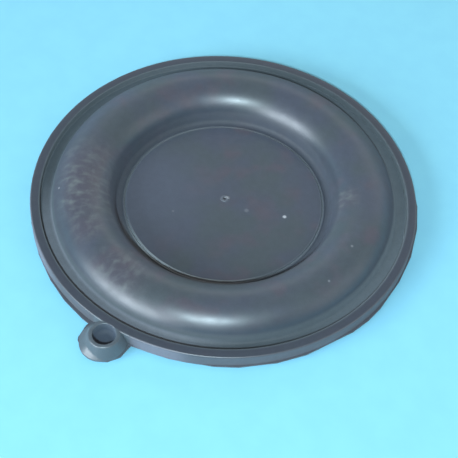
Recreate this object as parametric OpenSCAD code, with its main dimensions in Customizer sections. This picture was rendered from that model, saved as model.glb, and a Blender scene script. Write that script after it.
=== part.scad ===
// Rolling diaphragm of a water heater's flow switch, moulded in one piece of black rubber.
// The origin is on the diaphragm's axis, on the underside of the centre disc. +Z points to the
// side on which the roll stands up, and the ear points along -Y.

/* [Rim] */
// Outside diameter of the moulded rim, without its flash
rim_d = 72.6; // [70.4:0.2:90]
// Radial width of the rim's clamping face
rim_w = 1.8; // [1.5:0.1:3.2]
// Height of the rim
rim_h = 2.75; // [2.4:0.05:6]
// Height of the rim's underside above the underside of the centre disc
rim_lift = 0.9; // [0.4:0.1:1.2]
// Rounding of the rim's outer upper edge
rim_edge = 0.3; // [0.1:0.05:0.6]
// Rounding of the rim's inner upper edge
rim_in_edge = 0.15; // [0.05:0.05:0.5]
// Height of the groove's floor above the rim's underside
groove_h = 1.4; // [1.4:0.05:1.8]

/* [Roll] */
// Width of the roll, from wall to wall
roll_w = 12.3; // [9:0.1:13]
// Height of the roll's crest above the underside of the centre disc
roll_h = 6.95; // [6.6:0.05:8]
// Thickness of the rubber in the roll and in the groove's floor
web_t = 1; // [0.8:0.05:1.4]
// Fillet between the roll's outer wall and the groove's floor
groove_fillet = 0.6; // [0.3:0.05:0.8]
// Rounding of the lips at the mouth of the hollow under the roll
lip_round = 0.35; // [0.1:0.05:0.4]

/* [Centre disc] */
// Diameter of the flat centre disc, on which the plunger plate sits
disc_d = 37.5; // [30:0.5:40]
// Thickness of the centre disc
disc_t = 1; // [0.8:0.05:1.4]
// Rounding of the disc's upper edge
disc_edge = 0.25; // [0.05:0.05:0.25]
// Width of the ring between the disc and the roll's wall
ring_w = 1.7; // [1.6:0.05:3]
// How much lower than the disc that ring lies
ring_drop = 0.3; // [0.1:0.05:0.4]
// Fillet between the ring and the roll's inner wall
ring_fillet = 0.9; // [0.4:0.1:1]
// Width of the fine bead that runs round the disc's edge
bead_w = 0.6; // [0.4:0.05:0.7]

/* [Ear] */
// Distance of the ear's axis outside the rim's wall
ear_reach = 1.8; // [1.2:0.1:3]
// Width of the ear at its foot
ear_foot_d = 7.8; // [7:0.1:10]
// Height of the ear's straight foot
ear_foot_h = 0.5; // [0.3:0.05:1]
// Diameter of the ear at its top
ear_top_d = 5.8; // [5.4:0.1:6.8]
// How far the lower, wider part of the ear lies to one side
heel_off = 0.55; // [0.3:0.05:0.7]
// Rounding of the ear's upper edge
ear_edge = 0.45; // [0.2:0.05:0.6]
// Diameter of the blind cup in the ear
cup_d = 4.1; // [3.4:0.1:4.5]
// Thickness of the rubber under the cup
cup_floor_t = 0.6; // [0.4:0.05:1]
// Fillet in the bottom of the cup
cup_fillet = 1; // [0.4:0.05:1.1]
// Rounding of the cup's mouth
cup_lip = 0.2; // [0.1:0.05:0.3]
// Height of the neck that joins the ear to the rim's wall
neck_h = 0.5; // [0.3:0.1:2]
// Radius of the two fillets in which the neck runs out into the rim
neck_fillet = 0.5; // [0.3:0.1:2]

/* [Flash and gate mark] */
// Thickness of the flash at the rim's lower edge
flash_t = 0.3; // [0.15:0.05:0.5]
// Furthest that the flash stands out from the rim's wall and from the ear's foot
flash_w = 0.75; // [0.6:0.05:1.2]
// Diameter of the gate mark in the middle of the disc
gate_d = 1.5; // [1:0.1:3]
// Height of the gate mark
gate_h = 0.2; // [0.1:0.05:0.5]
// Diameter of the pit that the torn-off sprue left in the gate mark
pit_d = 0.7; // [0.4:0.05:0.9]
// How far the gate mark lies from the diaphragm's axis
gate_off = 0.4; // [0:0.1:2]

/* [Hidden] */
$fn = 128;

rubber = [0.2, 0.22, 0.25];

rim_r = rim_d / 2;
rim_in_r = rim_r - rim_w;
rim_top = rim_lift + rim_h;

rim_mid_r = rim_r - rim_w / 2;

disc_r = disc_d / 2;
ring_top = disc_t - ring_drop;

roll_r = roll_w / 2;
roll_in_r = disc_r + ring_w;
roll_mid_r = roll_in_r + roll_r;
roll_out_r = roll_mid_r + roll_r;
roll_zc = roll_h - roll_r;
hollow_r = roll_r - web_t;

groove_top = rim_lift + groove_h;
groove_low = groove_top - web_t;
// Radius at which the outer lip's rounding runs into the hollow's arc
lip_out_r = roll_mid_r + sqrt(pow(hollow_r, 2) - pow(max(0, groove_low + lip_round - roll_zc), 2));

bead_r = bead_w / 2;
// Centre of the bead's section, which touches the disc's edge and stands a quarter out of the ring
bead_centre = [disc_r + bead_r, ring_top - bead_r / 2];
// How deep one shape sinks into the next that it joins
sink = min(web_t, disc_t) / 4;
groove_fillet_fit = min(groove_fillet, (rim_in_r - roll_out_r) / 2);
ring_fillet_fit = min(ring_fillet, ring_w - bead_w);

ear_y = -(rim_r + ear_reach);
ear_foot_r = ear_foot_d / 2;
ear_top_r = ear_top_d / 2;
heel_turn = 217;
heel_place = heel_off * [cos(heel_turn), sin(heel_turn)];
// The heel's cone ends inside the boss
heel_top_r = ear_top_r - heel_off - sink;
cup_r = cup_d / 2;
cup_floor = rim_lift + cup_floor_t;

// The scissors leave the flash in straight cuts: the direction that each faces, in degrees from +X,
// and how far outside the wall it passes. One that passes inside the wall leaves no flash.
rim_cuts = [
    [359, 0.1], [8, 0.2], [18, 0.3], [27, 0.48], [37, 0.55], [50, 0.4], [66, 0.3], [84, 0.25],
    [102, 0.25], [122, 0.3], [144, 0.3], [162, 0.25], [174, 0.15], [185, 0.1], [196, 0],
    [207, -0.1], [218, -0.15], [229, -0.1], [238, 0.08], [247, 0.3], [256, 0.5], [264, 0.6],
    [283, -0.15], [293, -0.1], [302, 0.18], [312, 0.15], [322, 0.22], [333, 0.06], [343, 0.42],
    [351, 0.42]
];
ear_cuts = [[187, 0.5], [220, 0.6], [244, 0.06], [270, 0.03], [300, 0.05], [328, 0.03], [358, 0.2]];
gate_turn = 100;

// Reach of the shapes that only cut, past what they cut
over = 1;
far = 100;

// Corner of a section rounded off: takes what lies outside a circle of radius r that touches both sides
// of the corner p. The rubber lies on the side of p that the signs sx and sz give.
module edge_cut(p, r, sx, sz) {
    translate(p)
        difference() {
            translate([sx > 0 ? -over : -r, sz > 0 ? -over : -r])
                square([r + over, r + over]);
            translate([sx * r, sz * r])
                circle(r = r);
        }
}

// Fillet of radius f between the level floor_z and the outer (side 1) or inner (side -1) wall of the roll
module wall_fillet(f, floor_z, side) {
    rise = max(0, floor_z + f - roll_zc);
    centre = [
        roll_mid_r + side * sqrt(pow(roll_r + f, 2) - pow(rise, 2)),
        floor_z + f
    ];
    touch = [
        roll_mid_r + (centre[0] - roll_mid_r) * roll_r / (roll_r + f),
        centre[1] - rise * f / (roll_r + f)
    ];
    difference() {
        polygon([
            [roll_mid_r + side * (roll_r - 2 * sink), floor_z - sink],
            [centre[0], floor_z - sink], centre, touch
        ]);
        translate(centre)
            circle(r = f);
    }
}

// Half section of the rim, with its upper edges rounded
module rim_section() {
    difference() {
        translate([rim_in_r, rim_lift])
            square([rim_w, rim_h]);
        edge_cut([rim_r, rim_top], rim_edge, -1, -1);
        edge_cut([rim_in_r, rim_top], rim_in_edge, 1, -1);
    }
}

// Half section of the roll: a half circle of even thickness on two short straight legs
module roll_section() {
    difference() {
        union() {
            translate([roll_mid_r, roll_zc])
                circle(r = roll_r);
            translate([roll_in_r, 0])
                square([roll_w, roll_zc]);
        }
        translate([roll_mid_r, roll_zc])
            circle(r = hollow_r);
        translate([roll_mid_r - hollow_r, -over])
            square([2 * hollow_r, roll_zc + over]);
        translate([0, -far])
            square([far, far]);
        translate([roll_mid_r, -over])
            square([far, groove_low + over]);
        edge_cut([roll_mid_r - hollow_r, 0], lip_round, -1, 1);
        edge_cut([lip_out_r, groove_low], lip_round, 1, 1);
    }
}

// Half section of the floor of the groove between the roll and the rim
module groove_section() {
    translate([roll_out_r - sink, groove_low])
        square([rim_in_r - roll_out_r + 2 * sink, web_t]);
    wall_fillet(groove_fillet_fit, groove_top, 1);
}

// Half section of the centre disc, of the bead at its edge and of the lower ring round it
module disc_section() {
    difference() {
        square([disc_r, disc_t]);
        edge_cut([disc_r, disc_t], disc_edge, -1, -1);
    }
    square([roll_in_r + sink, ring_top]);
    translate(bead_centre)
        circle(r = bead_r);
    wall_fillet(ring_fillet_fit, ring_top, -1);
}

// The dished body, turned from one section
module dish() {
    rotate_extrude()
        union() {
            disc_section();
            roll_section();
            groove_section();
            rim_section();
        }
}

// Point at which a straight line from p touches the outer side of a circle of radius r round c
function touch_point(p, c, r) =
    let (
        d = norm(c - p),
        turn = atan2(c[1] - p[1], c[0] - p[0]) - asin(r / d),
        run = sqrt(d * d - r * r)
    )
    p + run * [cos(turn), sin(turn)];

// The ear: a drafted boss with a straight foot
module ear_boss() {
    foot = [ear_foot_r, rim_lift + ear_foot_h];
    edge = [ear_top_r - ear_edge, rim_top - ear_edge];
    translate([0, ear_y, 0])
        rotate_extrude() {
            polygon([
                [0, rim_lift], [ear_foot_r, rim_lift], foot,
                touch_point(foot, edge, ear_edge), [edge[0], rim_top], [0, rim_top]
            ]);
            translate(edge)
                circle(r = ear_edge);
        }
}

// The ear's heel: a lower cone beside the boss, which widens its foot on one side
module ear_heel() {
    translate([heel_place[0], ear_y + heel_place[1], 0])
        rotate_extrude()
            polygon([
                [0, rim_lift], [ear_foot_r, rim_lift], [ear_foot_r, rim_lift + ear_foot_h],
                [heel_top_r, rim_top - ear_edge], [0, rim_top - ear_edge]
            ]);
}

// Half of the neck that joins the ear to the rim's wall: side is how far it reaches from the middle,
// and a fillet carries it out into the wall
module neck_half(side) {
    out = rim_r + neck_fillet;
    centre = [side + neck_fillet, -sqrt(out * out - pow(side + neck_fillet, 2))];
    difference() {
        polygon([
            [0, ear_y], [side, ear_y], [side, centre[1]], centre, centre * rim_mid_r / out,
            [0, -rim_mid_r]
        ]);
        translate(centre)
            circle(r = neck_fillet);
    }
}

// The neck, as wide as the ear's foot on each side
module ear_neck() {
    translate([0, 0, rim_lift])
        linear_extrude(height = neck_h)
            union() {
                neck_half(ear_foot_r);
                mirror([1, 0])
                    neck_half(ear_foot_r - heel_place[0]);
            }
}

// The blind cup in the ear, as the shape that cuts it
module cup() {
    translate([0, ear_y, 0])
        rotate_extrude() {
            translate([0, cup_floor])
                square([cup_r - cup_fillet, far]);
            translate([0, cup_floor + cup_fillet])
                square([cup_r, far]);
            translate([cup_r - cup_fillet, cup_floor + cup_fillet])
                circle(r = cup_fillet);
            edge_cut([cup_r, rim_top], cup_lip, 1, -1);
        }
}

// Outline of the flash round a wall of radius r, trimmed with straight cuts
module trimmed(r, cuts) {
    difference() {
        circle(r = r + flash_w);
        for (cut = cuts)
            rotate(cut[0])
                translate([r + cut[1], -far / 2])
                    square([far, far]);
    }
}

// The thin flash in the mould's parting plane
module flash() {
    translate([0, 0, rim_lift])
        linear_extrude(height = flash_t)
            difference() {
                union() {
                    trimmed(rim_r, rim_cuts);
                    translate([0, ear_y])
                        trimmed(ear_foot_r, ear_cuts);
                }
                circle(r = rim_mid_r);
            }
}

// The mark that the gate left on the disc: a low button with a pit
module gate_mark() {
    rotate(gate_turn)
        translate([gate_off, 0, disc_t - sink])
            cylinder(d = gate_d, h = gate_h + sink);
}

module gate_pit() {
    rotate(gate_turn)
        translate([gate_off, 0, disc_t])
            cylinder(d = pit_d, h = far);
}

module diaphragm() {
    color(rubber)
        difference() {
            union() {
                dish();
                ear_boss();
                ear_heel();
                ear_neck();
                flash();
                gate_mark();
            }
            cup();
            gate_pit();
        }
}

diaphragm();
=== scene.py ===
from math import asin, atan2, cos, degrees, hypot, pi, radians, sin, sqrt

import bpy
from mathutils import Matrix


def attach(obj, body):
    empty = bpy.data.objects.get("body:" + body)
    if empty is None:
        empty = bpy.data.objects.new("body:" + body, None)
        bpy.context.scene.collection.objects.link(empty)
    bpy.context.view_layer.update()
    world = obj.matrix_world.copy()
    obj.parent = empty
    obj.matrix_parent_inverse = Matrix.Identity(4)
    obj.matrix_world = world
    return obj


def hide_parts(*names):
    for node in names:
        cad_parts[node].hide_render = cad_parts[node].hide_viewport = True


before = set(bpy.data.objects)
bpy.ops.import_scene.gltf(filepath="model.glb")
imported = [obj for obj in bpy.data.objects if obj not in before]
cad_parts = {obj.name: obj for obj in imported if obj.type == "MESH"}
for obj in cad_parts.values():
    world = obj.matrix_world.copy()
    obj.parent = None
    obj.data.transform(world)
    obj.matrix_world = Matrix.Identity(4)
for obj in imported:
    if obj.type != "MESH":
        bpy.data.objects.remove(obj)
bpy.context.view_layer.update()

MM = 0.001

# Section of the diaphragm, in millimetres from its axis and from the table
RIM_R = 36.3
RIM_W = 1.8
RIM_LIFT = 0.9
RIM_TOP = 3.65
RIM_EDGE = 0.3
RIM_IN_EDGE = 0.15
RIM_CORNER = 0.12
ROLL_MID_R = 26.6
ROLL_R = 6.15
ROLL_ZC = 0.8
WEB = 1.0
GROOVE_TOP = 2.3
GROOVE_FILLET = 0.6
LIP = 0.35
DISC_R = 18.75
DISC_T = 1.0
DISC_EDGE = 0.25
RING_TOP = 0.7
RING_FILLET = 0.9
BEAD_R = 0.3
BEAD_PLACE = (19.05, 0.55)
BODY_STEPS = 360

# The ear, in millimetres
EAR_Y = -38.1
EAR_FOOT_R = 3.9
EAR_FOOT_H = 0.5
EAR_TOP_R = 2.9
EAR_EDGE = 0.45
HEEL_PLACE = (-0.44, -0.33)
HEEL_TOP_R = 2.1
CUP_R = 2.05
CUP_FLOOR = 1.5
CUP_FILLET = 1.0
CUP_LIP = 0.2
NECK_H = 0.5
NECK_FILLET = 0.5
EAR_STEPS = 128

# The flash: thickness and furthest reach in millimetres, then the scissors' straight cuts, each as the
# direction that it faces in degrees and its distance outside the wall in millimetres
FLASH_T = 0.3
FLASH_W = 0.75
RIM_CUTS = (
    (359, 0.1), (8, 0.2), (18, 0.3), (27, 0.48), (37, 0.55), (50, 0.4), (66, 0.3), (84, 0.25),
    (102, 0.25), (122, 0.3), (144, 0.3), (162, 0.25), (174, 0.15), (185, 0.1), (196, 0),
    (207, -0.1), (218, -0.15), (229, -0.1), (238, 0.08), (247, 0.3), (256, 0.5), (264, 0.6),
    (283, -0.15), (293, -0.1), (302, 0.18), (312, 0.15), (322, 0.22), (333, 0.06), (343, 0.42),
    (351, 0.42),
)
EAR_CUTS = (
    (187, 0.5), (220, 0.6), (244, 0.06), (270, 0.03), (300, 0.05), (328, 0.03), (358, 0.2),
)

# The gate mark: a low button with a pit, just off the diaphragm's axis
GATE_R = 0.75
GATE_H = 0.2
PIT_R = 0.35
GATE_PLACE = (-0.07, 0.39)

# Colours on the old rubber: films of bloom, dust and specks, with painted light, painted shade and painted
# highlights
FILM_BLUE = (0.053, 0.062, 0.086, 1)
FILM_GREEN = (0.051, 0.064, 0.075, 1)
FILM_MAUVE = (0.068, 0.062, 0.080, 1)
BLOOM = (0.108, 0.120, 0.124, 1)
# painted light: the disc's left part, on the window's side, painted paler
DISC_SIDE_PAINTED_LIGHT = (0.068, 0.080, 0.110, 1)
DUST = (0.047, 0.065, 0.076, 1)
# dust and painted fill light for the far groove, which the roll shades
FAR_GROOVE_DUST_AND_PAINTED_LIGHT = (0.085, 0.105, 0.122, 1)
# painted light: a lit line in the near groove
NEAR_GROOVE_PAINTED_LIGHT = (0.130, 0.145, 0.170, 1)
# painted light for crevices and corners that lie in shade
CREVICE_PAINTED_LIGHT = (0.100, 0.115, 0.125, 1)
# painted shade, for the roll's outer flank, the ring and the inner half of the rim's top
PAINTED_SHADE = (0.031, 0.039, 0.055, 1)
# painted highlights, for the disc's edge, the bead and the gate mark
PAINTED_EDGE_HIGHLIGHT = (0.288, 0.310, 0.328, 1)
WALL_FILM = (0.066, 0.069, 0.082, 1)
# paler mauve patches on the rim's wall
WALL_PALE_PATCH = (0.118, 0.119, 0.146, 1)
EAR_FILM = (0.070, 0.088, 0.104, 1)
# painted shade for the inside of the cup
CUP_PAINTED_SHADE = (0.048, 0.065, 0.094, 1)
# painted shade for the gate mark's pit
PIT_PAINTED_SHADE = (0.024, 0.028, 0.036, 1)
SPECK = (0.403, 0.404, 0.424, 1)

# The floor, the background, and the soft light from all round
# painted shade on the floor's near side and painted light on its far side, which even out the front lamp's
# falloff
FLOOR_NEAR = (0.236, 0.558, 0.730, 1)
FLOOR_FAR = (0.268, 0.630, 0.765, 1)
BACKDROP = (0.25, 0.65, 0.83, 1)
SOFT_LIGHT = (0.29, 0.29, 0.29, 1)

# Marks on the rubber, in millimetres: bloom and paler patches on the wall with their reach, specks
# with their reach and strength
BLOOM_PLACE = (-23.5, -16.5, 6.0)
BLOOM_SPOTS = (((-4.5, -28.7, 6.5), 8.0), ((-15.1, -23.1, 6.9), 5.0), ((20.3, 9.9, 5.4), 4.0))
WALL_SPOTS = (((-23.0, -28.0, 2.0), 13.0), ((9.0, -35.2, 2.0), 7.0))
SPECKS = (
    ((11.55, 3.19, 1.0), 0.5, 0.9), ((4.84, 0.37, 1.0), 0.6, 0.15), ((0.3, 0.95, 1.2), 0.6, 0.45),
    ((26.91, 0.17, 6.94), 0.35, 0.25), ((27.19, -8.62, 6.64), 0.3, 0.3),
    ((-25.04, -17.99, 5.26), 0.35, 0.3), ((-6.5, -7.65, 1.0), 0.35, 0.15),
)

# Camera: place in millimetres, turn in degrees, lens for a 36 mm wide sensor
CAMERA_PLACE = (67.685, -119.195, 172.114)
CAMERA_TURN = (37.2074, -2.7423, 32.6153)
CAMERA_LENS = 90.583
CAMERA_SENSOR = 36.0


def to_metres(*values):
    return tuple(value * MM for value in values)


def edit(piece):
    """Opens one piece for editing, with nothing else selected."""
    bpy.ops.object.select_all(action="DESELECT")
    piece.select_set(True)
    bpy.context.view_layer.objects.active = piece
    bpy.ops.object.mode_set(mode="EDIT")


def close_edit():
    bpy.ops.object.mode_set(mode="OBJECT")


class Pen:
    """Draws a half section in the XZ plane: it starts as one vertex, which is extruded along straight
    stretches and spun along round ones."""

    def __init__(self, name, r, z):
        bpy.ops.object.select_all(action="DESELECT")
        bpy.ops.mesh.primitive_plane_add(size=MM)
        self.piece = bpy.context.object
        self.piece.name = name
        self.r, self.z = r, z
        bpy.ops.object.mode_set(mode="EDIT")
        bpy.ops.mesh.merge(type="CENTER")
        bpy.ops.transform.translate(value=to_metres(r, 0, z))

    def line(self, r, z, parts=1):
        step = to_metres((r - self.r) / parts, 0, (z - self.z) / parts)
        for _ in range(parts):
            bpy.ops.mesh.extrude_region_move(TRANSFORM_OT_translate={"value": step})
        self.r, self.z = r, z

    def arc(self, centre, turn, parts):
        """Turns round the centre by so many degrees, from +X towards +Z."""
        bpy.ops.mesh.spin(
            steps=parts, angle=radians(turn), center=to_metres(centre[0], 0, centre[1]), axis=(0, 1, 0)
        )
        dr, dz = self.r - centre[0], self.z - centre[1]
        c, s = cos(radians(turn)), sin(radians(turn))
        self.r, self.z = centre[0] + dr * c - dz * s, centre[1] + dr * s + dz * c

    def turn(self, steps):
        """Spins the section round the Z axis, and closes the solid."""
        bpy.ops.mesh.select_all(action="SELECT")
        bpy.ops.mesh.spin(steps=steps, angle=2 * pi, center=(0, 0, 0), axis=(0, 0, 1))
        bpy.ops.mesh.select_all(action="SELECT")
        bpy.ops.mesh.remove_doubles(threshold=0.002 * MM)
        bpy.ops.mesh.normals_make_consistent(inside=False)
        close_edit()
        return self.piece


def angle_of(dr, dz):
    return degrees(atan2(dz, dr))


def make_dish():
    """The dished body, turned from one section: disc, ring, hollow roll, groove and rim."""
    hollow_r = ROLL_R - WEB
    mid = (ROLL_MID_R, ROLL_ZC)
    rim_in_r = RIM_R - RIM_W
    groove_low = GROOVE_TOP - WEB

    groove_rise = GROOVE_TOP + GROOVE_FILLET - ROLL_ZC
    groove_centre = (
        ROLL_MID_R + sqrt((ROLL_R + GROOVE_FILLET) ** 2 - groove_rise ** 2),
        GROOVE_TOP + GROOVE_FILLET,
    )
    groove_turn = angle_of(groove_centre[0] - ROLL_MID_R, groove_rise)
    ring_rise = RING_TOP + RING_FILLET - ROLL_ZC
    ring_centre = (
        ROLL_MID_R - sqrt((ROLL_R + RING_FILLET) ** 2 - ring_rise ** 2),
        RING_TOP + RING_FILLET,
    )
    ring_turn = angle_of(ROLL_MID_R - ring_centre[0], ring_rise)
    lip_rise = degrees(asin((groove_low + LIP - ROLL_ZC) / hollow_r))

    pen = Pen("diaphragm_rubber", 0, 0)
    pen.line(ROLL_MID_R - hollow_r - LIP, 0, parts=12)
    pen.arc((ROLL_MID_R - hollow_r - LIP, LIP), 90, parts=4)
    pen.line(ROLL_MID_R - hollow_r, ROLL_ZC)
    pen.arc(mid, -(180 - lip_rise), parts=30)
    pen.arc((pen.r + LIP, pen.z), 90, parts=4)
    pen.line(rim_in_r, pen.z, parts=4)
    pen.line(rim_in_r, RIM_LIFT + RIM_CORNER, parts=1)
    pen.arc((rim_in_r + RIM_CORNER, RIM_LIFT + RIM_CORNER), 90, parts=2)
    pen.line(RIM_R, RIM_LIFT, parts=3)
    pen.line(RIM_R, RIM_LIFT + FLASH_T)
    pen.line(RIM_R, RIM_TOP - RIM_EDGE, parts=4)
    pen.arc((RIM_R - RIM_EDGE, RIM_TOP - RIM_EDGE), 90, parts=5)
    pen.line(rim_in_r + RIM_IN_EDGE, RIM_TOP, parts=3)
    pen.arc((rim_in_r + RIM_IN_EDGE, RIM_TOP - RIM_IN_EDGE), 90, parts=4)
    pen.line(rim_in_r, GROOVE_TOP + RIM_CORNER, parts=3)
    pen.arc((rim_in_r - RIM_CORNER, GROOVE_TOP + RIM_CORNER), -90, parts=3)
    pen.line(groove_centre[0], GROOVE_TOP, parts=3)
    pen.arc(groove_centre, -(90 - groove_turn), parts=6)
    pen.arc(mid, 180 - groove_turn - ring_turn, parts=44)
    pen.arc(ring_centre, -(90 - ring_turn), parts=8)
    bead_rise = degrees(asin((RING_TOP - BEAD_PLACE[1]) / BEAD_R))
    pen.line(BEAD_PLACE[0] + BEAD_R * cos(radians(bead_rise)), RING_TOP, parts=2)
    pen.arc(BEAD_PLACE, 180 - 2 * bead_rise, parts=8)
    pen.line(DISC_R, RING_TOP)
    pen.line(DISC_R, DISC_T - DISC_EDGE)
    pen.arc((DISC_R - DISC_EDGE, DISC_T - DISC_EDGE), 90, parts=4)
    pen.line(0, DISC_T, parts=14)
    return pen.turn(BODY_STEPS)


def make_ear_boss():
    """The ear as a drafted boss, drawn round the Z axis and then moved to its place."""
    edge = (EAR_TOP_R - EAR_EDGE, RIM_TOP - EAR_EDGE)
    foot = (EAR_FOOT_R, RIM_LIFT + EAR_FOOT_H)
    reach = hypot(edge[0] - foot[0], edge[1] - foot[1])
    slope = atan2(edge[1] - foot[1], edge[0] - foot[0]) - asin(EAR_EDGE / reach)
    run = sqrt(reach ** 2 - EAR_EDGE ** 2)
    touch = (foot[0] + run * cos(slope), foot[1] + run * sin(slope))
    pen = Pen("ear_boss", 0, RIM_LIFT)
    pen.line(EAR_FOOT_R, RIM_LIFT, parts=2)
    pen.line(EAR_FOOT_R, RIM_LIFT + EAR_FOOT_H, parts=2)
    pen.line(*touch, parts=6)
    pen.arc(edge, 90 - angle_of(touch[0] - edge[0], touch[1] - edge[1]), parts=6)
    pen.line(0, RIM_TOP, parts=4)
    boss = pen.turn(EAR_STEPS)
    move(boss, 0, EAR_Y, 0)
    return boss


def make_heel():
    """The ear's heel: a lower cone beside the boss."""
    pen = Pen("ear_heel", 0, RIM_LIFT)
    pen.line(EAR_FOOT_R, RIM_LIFT, parts=2)
    pen.line(EAR_FOOT_R, RIM_LIFT + EAR_FOOT_H, parts=2)
    pen.line(HEEL_TOP_R, RIM_TOP - EAR_EDGE, parts=6)
    pen.line(0, RIM_TOP - EAR_EDGE, parts=2)
    heel = pen.turn(EAR_STEPS)
    move(heel, HEEL_PLACE[0], EAR_Y + HEEL_PLACE[1], 0)
    return heel


def make_cup():
    """The blind cup of the ear, as the solid that cuts it."""
    over = 1.0
    pen = Pen("ear_cup", 0, CUP_FLOOR)
    pen.line(CUP_R - CUP_FILLET, CUP_FLOOR, parts=2)
    pen.arc((CUP_R - CUP_FILLET, CUP_FLOOR + CUP_FILLET), 90, parts=8)
    pen.line(CUP_R, RIM_TOP - CUP_LIP, parts=3)
    pen.arc((CUP_R + CUP_LIP, RIM_TOP - CUP_LIP), -90, parts=5)
    pen.line(CUP_R + CUP_LIP, RIM_TOP + over)
    pen.line(0, RIM_TOP + over)
    cup = pen.turn(EAR_STEPS)
    move(cup, 0, EAR_Y, 0)
    return cup


def move(piece, x, y, z):
    """Moves a piece's mesh, so that its object stays at the origin."""
    edit(piece)
    bpy.ops.mesh.select_all(action="SELECT")
    bpy.ops.transform.translate(value=to_metres(x, y, z))
    close_edit()


def combine(piece, other, operation):
    """Joins another solid to the piece, or cuts it away, and deletes it."""
    bpy.ops.object.select_all(action="DESELECT")
    bpy.context.view_layer.objects.active = piece
    piece.select_set(True)
    modifier = piece.modifiers.new("solid", "BOOLEAN")
    modifier.operation = operation
    modifier.solver = "MANIFOLD"
    modifier.object = other
    bpy.ops.object.modifier_apply(modifier=modifier.name)
    bpy.data.objects.remove(other)


def make_flash(name, centre_y, r, cuts, steps):
    """A thin disc of flash round a wall of radius r, trimmed with straight cuts."""
    bpy.ops.object.select_all(action="DESELECT")
    bpy.ops.mesh.primitive_circle_add(
        vertices=steps, radius=(r + FLASH_W) * MM, fill_type="NGON",
        location=to_metres(0, centre_y, RIM_LIFT),
    )
    flash = bpy.context.object
    flash.name = name
    bpy.ops.object.transform_apply(location=True)
    edit(flash)
    for turn, stand_out in cuts:
        facing = (cos(radians(turn)), sin(radians(turn)), 0)
        place = to_metres(
            facing[0] * (r + stand_out), centre_y + facing[1] * (r + stand_out), RIM_LIFT
        )
        bpy.ops.mesh.select_all(action="SELECT")
        bpy.ops.mesh.bisect(plane_co=place, plane_no=facing, clear_outer=True)
    bpy.ops.mesh.select_all(action="SELECT")
    bpy.ops.mesh.extrude_region_move(TRANSFORM_OT_translate={"value": to_metres(0, 0, FLASH_T)})
    bpy.ops.mesh.select_all(action="SELECT")
    bpy.ops.mesh.normals_make_consistent(inside=False)
    close_edit()
    return flash


def make_flash_core():
    """The disc inside the rim, where there is no flash."""
    bpy.ops.object.select_all(action="DESELECT")
    bpy.ops.mesh.primitive_cylinder_add(
        vertices=BODY_STEPS, radius=(RIM_R - RIM_W / 2) * MM, depth=4 * FLASH_T * MM,
        location=to_metres(0, 0, RIM_LIFT),
    )
    core = bpy.context.object
    core.name = "flash_core"
    bpy.ops.object.transform_apply(location=True)
    return core


def make_neck():
    """The neck that joins the ear to the rim's wall, with a fillet on each side."""
    left = EAR_FOOT_R - HEEL_PLACE[0]
    inner = -(RIM_R - RIM_W / 2)
    neck = make_block(
        "ear_neck", (-left - NECK_FILLET, EAR_FOOT_R + NECK_FILLET), (EAR_Y, inner), NECK_H
    )
    for turn, side in ((-1, left), (1, EAR_FOOT_R)):
        centre_x = side + NECK_FILLET
        centre_y = -sqrt((RIM_R + NECK_FILLET) ** 2 - centre_x ** 2)
        bpy.ops.object.select_all(action="DESELECT")
        bpy.ops.mesh.primitive_cylinder_add(
            vertices=48, radius=NECK_FILLET * MM, depth=4 * NECK_H * MM,
            location=to_metres(turn * centre_x, centre_y, RIM_LIFT),
        )
        bore = bpy.context.object
        bpy.ops.object.transform_apply(location=True)
        combine(neck, bore, "DIFFERENCE")
        span = sorted((turn * side, turn * (side + 2 * NECK_FILLET)))
        block = make_block("neck_side", span, (EAR_Y - 1, centre_y), 2 * NECK_H, -NECK_H / 2)
        combine(neck, block, "DIFFERENCE")
    return neck


def make_block(name, span_x, span_y, height, drop=0.0):
    """A block over the given spans, which stands on the level of the rim's underside."""
    bpy.ops.object.select_all(action="DESELECT")
    bpy.ops.mesh.primitive_cube_add(size=1)
    block = bpy.context.object
    block.name = name
    block.scale = to_metres(span_x[1] - span_x[0], span_y[1] - span_y[0], height)
    block.location = to_metres(
        (span_x[0] + span_x[1]) / 2, (span_y[0] + span_y[1]) / 2, RIM_LIFT + drop + height / 2
    )
    bpy.ops.object.transform_apply(location=True, scale=True)
    return block


def make_gate_mark():
    """The button that the gate left in the middle of the disc, and the pit in it."""
    pen = Pen("gate_button", 0, DISC_T - GATE_H)
    pen.line(GATE_R, DISC_T - GATE_H)
    pen.line(GATE_R, DISC_T + GATE_H / 2)
    pen.arc((GATE_R - GATE_H / 2, DISC_T + GATE_H / 2), 90, parts=4)
    pen.line(PIT_R, DISC_T + GATE_H, parts=2)
    pen.line(PIT_R * 0.6, DISC_T + GATE_H / 4, parts=3)
    pen.line(0, DISC_T)
    button = pen.turn(48)
    move(button, GATE_PLACE[0], GATE_PLACE[1], 0)
    return button


def make_diaphragm():
    flash = make_flash("rim_flash", 0, RIM_R, RIM_CUTS, BODY_STEPS)
    combine(flash, make_flash("ear_flash", EAR_Y, EAR_FOOT_R, EAR_CUTS, EAR_STEPS), "UNION")
    combine(flash, make_flash_core(), "DIFFERENCE")
    ear = make_ear_boss()
    combine(ear, make_heel(), "UNION")
    combine(ear, make_neck(), "UNION")
    combine(ear, flash, "UNION")
    dish = make_dish()
    combine(dish, ear, "UNION")
    combine(dish, make_cup(), "DIFFERENCE")
    combine(dish, make_gate_mark(), "UNION")
    bpy.ops.object.select_all(action="DESELECT")
    dish.select_set(True)
    bpy.context.view_layer.objects.active = dish
    bpy.ops.object.shade_smooth_by_angle(angle=radians(35))
    return dish


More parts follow.
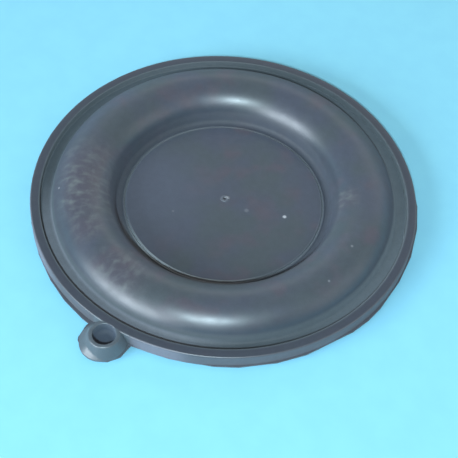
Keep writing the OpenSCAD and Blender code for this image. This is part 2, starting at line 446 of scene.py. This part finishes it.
class Recipe:
    """A material or world, built node by node: places are in millimetres, and masks run from 0 to 1."""

    def __init__(self, owner, shader, coordinates="Object"):
        owner.use_nodes = True
        self.nodes = owner.node_tree.nodes
        self.links = owner.node_tree.links
        self.shader = self.nodes[shader]
        place = self.nodes.new("ShaderNodeTexCoord").outputs[coordinates]
        self.place = self.vector("SCALE", place, 1 / MM)
        self.x, self.y, self.z = self.split(self.place)
        self.flat_place = self.join(self.x, self.y, 0)
        self.r = self.vector("DISTANCE", self.flat_place, (0, 0, 0))
        self.colour = None

    def put(self, value, socket):
        """Links an output to the socket, or sets the value on it."""
        if isinstance(value, bpy.types.NodeSocket):
            self.links.new(value, socket)
        else:
            socket.default_value = value

    def vector(self, operation, a, b):
        node = self.nodes.new("ShaderNodeVectorMath")
        node.operation = operation
        self.put(a, node.inputs[0])
        self.put(b, node.inputs["Scale" if operation == "SCALE" else 1])
        return node.outputs["Value" if operation == "DISTANCE" else "Vector"]

    def split(self, vector):
        node = self.nodes.new("ShaderNodeSeparateXYZ")
        self.put(vector, node.inputs[0])
        return node.outputs

    def join(self, x, y, z):
        node = self.nodes.new("ShaderNodeCombineXYZ")
        for value, socket in zip((x, y, z), node.inputs):
            self.put(value, socket)
        return node.outputs[0]

    def maths(self, operation, a, b=0.0):
        node = self.nodes.new("ShaderNodeMath")
        node.operation = operation
        self.put(a, node.inputs[0])
        self.put(b, node.inputs[1])
        return node.outputs[0]

    def times(self, a, b):
        return self.maths("MULTIPLY", a, b)

    def most(self, first, *others):
        """The strongest of several masks."""
        for other in others:
            first = self.maths("MAXIMUM", first, other)
        return first

    def noise(self, size, detail=2.0, place=None):
        """A noise round 0.5, with blotches of the given size in millimetres."""
        node = self.nodes.new("ShaderNodeTexNoise")
        self.put(place or self.place, node.inputs["Vector"])
        node.inputs["Scale"].default_value = 1 / size
        node.inputs["Detail"].default_value = detail
        return node.outputs[0]

    def ramp(self, value, start, end, low=0.0, high=1.0):
        node = self.nodes.new("ShaderNodeMapRange")
        node.interpolation_type = "SMOOTHSTEP"
        self.put(value, node.inputs["Value"])
        node.inputs["From Min"].default_value = start
        node.inputs["From Max"].default_value = end
        node.inputs["To Min"].default_value = low
        node.inputs["To Max"].default_value = high
        return node.outputs["Result"]

    def near(self, centre, reach, soft):
        """A mask that is 1 round the centre and falls to 0 at the reach."""
        return self.ramp(self.vector("DISTANCE", self.place, centre), reach - soft, reach, 1.0, 0.0)

    def band(self, start, end, soft):
        """A mask that is 1 between two distances from the axis."""
        rise = self.ramp(self.r, start - soft, start)
        fall = self.ramp(self.r, end, end + soft, 1.0, 0.0)
        return self.times(rise, fall)

    def seen(self):
        """1 for the rays that show the background: straight ones, and those by a gloss or through glass."""
        rays = self.nodes.new("ShaderNodeLightPath").outputs
        return self.most(rays["Is Camera Ray"], rays["Is Glossy Ray"], rays["Is Transmission Ray"])

    def edge_on(self):
        """0 where the surface faces the eye, and 1 where it is seen edge on."""
        node = self.nodes.new("ShaderNodeLayerWeight")
        node.inputs["Blend"].default_value = 0.5
        return node.outputs["Facing"]

    def mix(self, factor, first, second, blend="MIX"):
        node = self.nodes.new("ShaderNodeMix")
        node.data_type = "RGBA"
        node.blend_type = blend
        self.put(factor, node.inputs["Factor"])
        self.put(first, node.inputs[6])
        self.put(second, node.inputs[7])
        return node.outputs[2]

    def lay(self, mask, colour):
        """Lays a colour over the colour so far, where the mask is."""
        self.colour = self.mix(mask, self.colour, colour)

    def keep_above(self, height, before):
        """Keeps the newest marks on the upper side only, and the colour before them below the height."""
        self.colour = self.mix(self.ramp(self.z, height, height + 0.3), before, self.colour)

    def bump(self, height, depth, below=None):
        """A bump of so many millimetres."""
        node = self.nodes.new("ShaderNodeBump")
        node.inputs["Strength"].default_value = 1.0
        node.inputs["Distance"].default_value = depth * MM
        self.put(height, node.inputs["Height"])
        if below:
            self.put(below, node.inputs["Normal"])
        return node.outputs["Normal"]


def lay_film(recipe):
    """The film of bloom, which drifts from bluish grey to green grey and to mauve."""
    recipe.colour = recipe.mix(recipe.ramp(recipe.noise(9), 0.35, 0.65), FILM_BLUE, FILM_GREEN)
    elsewhere = recipe.vector("ADD", recipe.place, (40, 7, 3))
    recipe.lay(recipe.ramp(recipe.noise(5.5, place=elsewhere), 0.5, 0.75), FILM_MAUVE)


def lay_streaks(recipe):
    """Pale bloom where the roll was handled, in streaks that run away from the axis."""
    turn = recipe.maths("ARCTAN2", recipe.y, recipe.x)
    streak_place = recipe.join(recipe.times(turn, 16.0), recipe.times(recipe.r, 0.3), 0.0)
    streaks = recipe.ramp(recipe.noise(0.8, 3, streak_place), 0.45, 0.7)
    patches = recipe.ramp(recipe.noise(1.3, 3), 0.48, 0.72)
    handled = recipe.near(BLOOM_PLACE, 15.0, 12.0)
    for centre, reach in BLOOM_SPOTS:
        handled = recipe.most(handled, recipe.near(centre, reach, reach * 0.8))
    recipe.lay(recipe.times(handled, 0.7), FILM_MAUVE)
    drawn = recipe.maths("ADD", recipe.times(streaks, 0.7), recipe.times(patches, 0.3))
    bloom = recipe.times(handled, drawn)
    recipe.lay(bloom, BLOOM)
    return bloom


def lay_groove_dust_and_painted_light(recipe):
    """Painted shade darkens the roll's outer flank and the inner half of the rim's top; dust lies in the
    groove inside the rim, with painted fill light where the groove and the rim's inner corner lie in shade.
    """
    groove = recipe.band(32.2, 34.5, 0.5)
    # painted shade on the roll's outer flank
    recipe.lay(recipe.ramp(recipe.r, 29.2, 31.8, 0.0, 0.8), PAINTED_SHADE)
    recipe.lay(recipe.times(groove, 0.8), DUST)
    # dust and painted fill light in the far groove, which lies in the roll's shadow
    recipe.lay(recipe.times(groove, recipe.near((27.0, 20.0, 2.0), 45.0, 30.0)), FAR_GROOVE_DUST_AND_PAINTED_LIGHT)
    # painted light: a lit line in the near groove, which lies in shade
    near_groove = recipe.times(recipe.band(32.5, 34.0, 0.3), recipe.near((-8.0, -32.0, 2.0), 30.0, 14.0))
    recipe.lay(near_groove, NEAR_GROOVE_PAINTED_LIGHT)
    # painted light in the rim's inner corner, where shade falls
    recipe.lay(recipe.times(recipe.band(34.4, 34.6, 0.1), 0.5), CREVICE_PAINTED_LIGHT)
    # painted shade on the inner half of the rim's top
    recipe.lay(recipe.times(recipe.band(34.85, 35.2, 0.25), 0.45), PAINTED_SHADE)
    return groove


def lay_disc_edge(recipe):
    """Round the disc: painted shade darkens the ring, painted light fills the notch and the shaded near
    ring, painted highlights line the disc's edge and the bead, and painted light pales the disc's left
    part.
    """
    # painted light: the disc's left part, towards the window, is painted paler
    painted_lit_side = recipe.times(recipe.near((-15.0, -8.0, 1.0), 20.0, 18.0), recipe.band(0.0, 18.7, 0.1))
    recipe.lay(painted_lit_side, DISC_SIDE_PAINTED_LIGHT)
    # painted shade on the ring round the disc
    recipe.lay(recipe.times(recipe.band(19.5, 21.2, 0.8), 0.75), PAINTED_SHADE)
    # painted light in the notch at the disc's edge, where shade falls
    recipe.lay(recipe.times(recipe.band(18.78, 18.9, 0.08), 0.8), CREVICE_PAINTED_LIGHT)
    # painted light on the near ring, which lies in the near roll's shadow
    near_side = recipe.near((1.5, -18.5, 1.0), 17.0, 12.0)
    near_ring = recipe.times(recipe.band(18.8, 20.0, 0.2), near_side)
    recipe.lay(recipe.times(near_ring, 0.8), CREVICE_PAINTED_LIGHT)
    # painted highlights on the disc's edge and the bead, strongest on the near side
    edge_highlight_strength = recipe.maths("ADD", near_side, 0.12)
    bead = recipe.times(recipe.band(19.0, 19.15, 0.1), 0.6)
    edges = recipe.most(recipe.band(18.5, 18.72, 0.1), bead)
    recipe.lay(recipe.times(edges, recipe.times(edge_highlight_strength, 0.8)), PAINTED_EDGE_HIGHLIGHT)


def lay_wall_and_ear(recipe):
    """The rim's wall and the ear carry a thicker film, the wall has paler patches, and painted shade
    darkens the inside of the cup.
    """
    wall = recipe.ramp(recipe.r, 35.95, 36.2)
    recipe.lay(wall, WALL_FILM)
    # paler patches on the rim's wall, at the near left and the near front
    for centre, reach in WALL_SPOTS:
        recipe.lay(recipe.times(wall, recipe.near(centre, reach, reach * 0.7)), WALL_PALE_PATCH)
    from_ear = recipe.vector("DISTANCE", recipe.flat_place, (0, EAR_Y, 0))
    ear = recipe.ramp(from_ear, EAR_FOOT_R, EAR_FOOT_R + 0.8, 1.0, 0.0)
    recipe.lay(recipe.times(ear, wall), EAR_FILM)
    # painted shade inside the cup
    inside = recipe.ramp(from_ear, CUP_R - 0.1, CUP_R + 0.1, 1.0, 0.0)
    cup = recipe.times(inside, recipe.ramp(recipe.z, CUP_FLOOR - 0.4, CUP_FLOOR - 0.1))
    recipe.lay(cup, CUP_PAINTED_SHADE)
    return cup


def lay_gate_scar(recipe):
    """The gate mark has a faint painted highlight round it and painted shade in its pit."""
    from_gate = recipe.vector("DISTANCE", recipe.flat_place, (*GATE_PLACE, 0))
    # a faint painted highlight ring round the gate mark
    recipe.lay(recipe.ramp(from_gate, 0.75, 1.05, 0.15, 0.0), PAINTED_EDGE_HIGHLIGHT)
    # painted shade in the pit
    recipe.lay(recipe.ramp(from_gate, 0.25, 0.45, 0.9, 0.0), PIT_PAINTED_SHADE)


def rubber():
    """Old black rubber, with the marks of moulding, handling and dust, and with painted light, shade and
    highlights in its hollows and along its edges.
    """
    material = bpy.data.materials.new("moulded_rubber")
    recipe = Recipe(material, "Principled BSDF")
    lay_film(recipe)
    bloom = lay_streaks(recipe)
    film = recipe.colour
    groove = lay_groove_dust_and_painted_light(recipe)
    recipe.keep_above(1.5, film)
    film = recipe.colour
    lay_disc_edge(recipe)
    lay_gate_scar(recipe)
    recipe.keep_above(0.15, film)
    cup = lay_wall_and_ear(recipe)

    grain = recipe.ramp(recipe.noise(0.25, 3), 0.3, 0.7, 0.95, 1.05)
    blotches = recipe.ramp(recipe.noise(1.3, 2), 0.3, 0.7, 0.96, 1.04)
    shade = recipe.times(grain, blotches)
    recipe.colour = recipe.mix(1.0, recipe.colour, recipe.join(shade, shade, shade), "MULTIPLY")
    for centre, reach, strength in SPECKS:
        recipe.lay(recipe.times(recipe.near(centre, reach, reach * 0.7), strength), SPECK)
    recipe.put(recipe.colour, recipe.shader.inputs["Base Color"])

    # dust and film are duller than the rubber, most where they are seen edge on
    ring = recipe.band(19.0, 20.6, 0.5)
    edge_on = recipe.ramp(recipe.edge_on(), 0.25, 0.6)
    dull = recipe.most(groove, ring, recipe.times(bloom, 0.4), cup, edge_on)
    polish = recipe.ramp(recipe.noise(2.2, 4), 0.3, 0.7, 0.36, 0.41)
    recipe.put(recipe.maths("ADD", polish, recipe.times(dull, 0.35)), recipe.shader.inputs["Roughness"])

    waves = recipe.bump(recipe.noise(4.0, 1), 0.008)
    recipe.put(recipe.bump(recipe.noise(0.3, 2), 0.0015, waves), recipe.shader.inputs["Normal"])

    recipe.shader.inputs["Specular IOR Level"].default_value = 0.8
    recipe.shader.inputs["Diffuse Roughness"].default_value = 1.0
    return material


def add_floor():
    """A pale floor, painted darker towards the near side and paler towards the far side as painted shade
    and light, which turns into an even backdrop far from the lamps.
    """
    bpy.ops.object.select_all(action="DESELECT")
    bpy.ops.mesh.primitive_plane_add(size=6)
    floor = bpy.context.object
    floor.name = "floor"
    material = bpy.data.materials.new("floor_paint")
    recipe = Recipe(material, "Principled BSDF")
    inputs = recipe.shader.inputs
    cloudy = recipe.ramp(recipe.noise(5.0, 3), 0.3, 0.7, 0.0, 0.25)
    # painted shade and light: darker towards -Y, paler towards +Y, with cloudy tone on top
    shade = recipe.maths("ADD", recipe.ramp(recipe.y, -70.0, 70.0, 0.0, 0.75), cloudy)
    recipe.put(recipe.mix(shade, FLOOR_NEAR, FLOOR_FAR), inputs["Base Color"])
    inputs["Roughness"].default_value = 0.9
    inputs["Specular IOR Level"].default_value = 0.0
    inputs["Emission Color"].default_value = BACKDROP
    far = recipe.times(recipe.ramp(recipe.r, 300.0, 750.0), recipe.seen())
    recipe.put(far, inputs["Emission Strength"])
    floor.data.materials.append(material)


def add_camera():
    data = bpy.data.cameras.new("camera")
    data.sensor_width = CAMERA_SENSOR
    data.lens = CAMERA_LENS
    data.clip_start = 0.01
    camera = bpy.data.objects.new("camera", data)
    bpy.context.scene.collection.objects.link(camera)
    camera.location = to_metres(*CAMERA_PLACE)
    camera.rotation_euler = [radians(turn) for turn in CAMERA_TURN]
    bpy.context.scene.camera = camera


def add_lamp(name, turn, rise, distance, size, power, colour):
    """An area lamp that looks at the diaphragm: turn and rise in degrees, the rest in metres and watts."""
    data = bpy.data.lights.new(name, "AREA")
    data.shape = "RECTANGLE"
    data.size, data.size_y = size
    data.energy = power
    data.color = colour
    lamp = bpy.data.objects.new(name, data)
    bpy.context.scene.collection.objects.link(lamp)
    turn, rise = radians(turn), radians(rise)
    lamp.location = (
        distance * cos(rise) * cos(turn), distance * cos(rise) * sin(turn), distance * sin(rise)
    )
    lamp.rotation_euler = (pi / 2 - rise, 0, turn + pi / 2)
    return lamp


def add_lights():
    """Soft light from all round, a small lamp by the camera, a window in front, and two pale walls."""
    world = bpy.data.worlds.new("studio")
    recipe = Recipe(world, "Background", "Generated")
    horizon = recipe.times(recipe.ramp(recipe.z, 150.0, 350.0, 1.0, 0.0), recipe.seen())
    recipe.put(recipe.mix(horizon, SOFT_LIGHT, BACKDROP), recipe.shader.inputs["Color"])
    bpy.context.scene.world = world
    add_lamp("front_lamp", -65.5, 46, 0.42, (0.03, 0.03), 1.65, (0.68, 0.90, 1.0))
    add_lamp("window_lamp", -112, 21, 0.8, (0.6, 0.34), 8.7, (0.78, 0.90, 1.0))
    add_lamp("right_wall", 15, 28, 0.8, (0.6, 0.45), 0.75, (1.0, 1.0, 1.0))
    add_lamp("back_wall", 100, 25, 1.0, (1.4, 0.6), 2.0, (1.0, 1.0, 1.0))


rubber_material = rubber()
diaphragm = make_diaphragm()
diaphragm.data.materials.clear()
diaphragm.data.materials.append(rubber_material)
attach(diaphragm, "root")
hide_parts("diaphragm")

add_floor()
add_camera()
add_lights()
bpy.context.scene.view_settings.view_transform = "Standard"
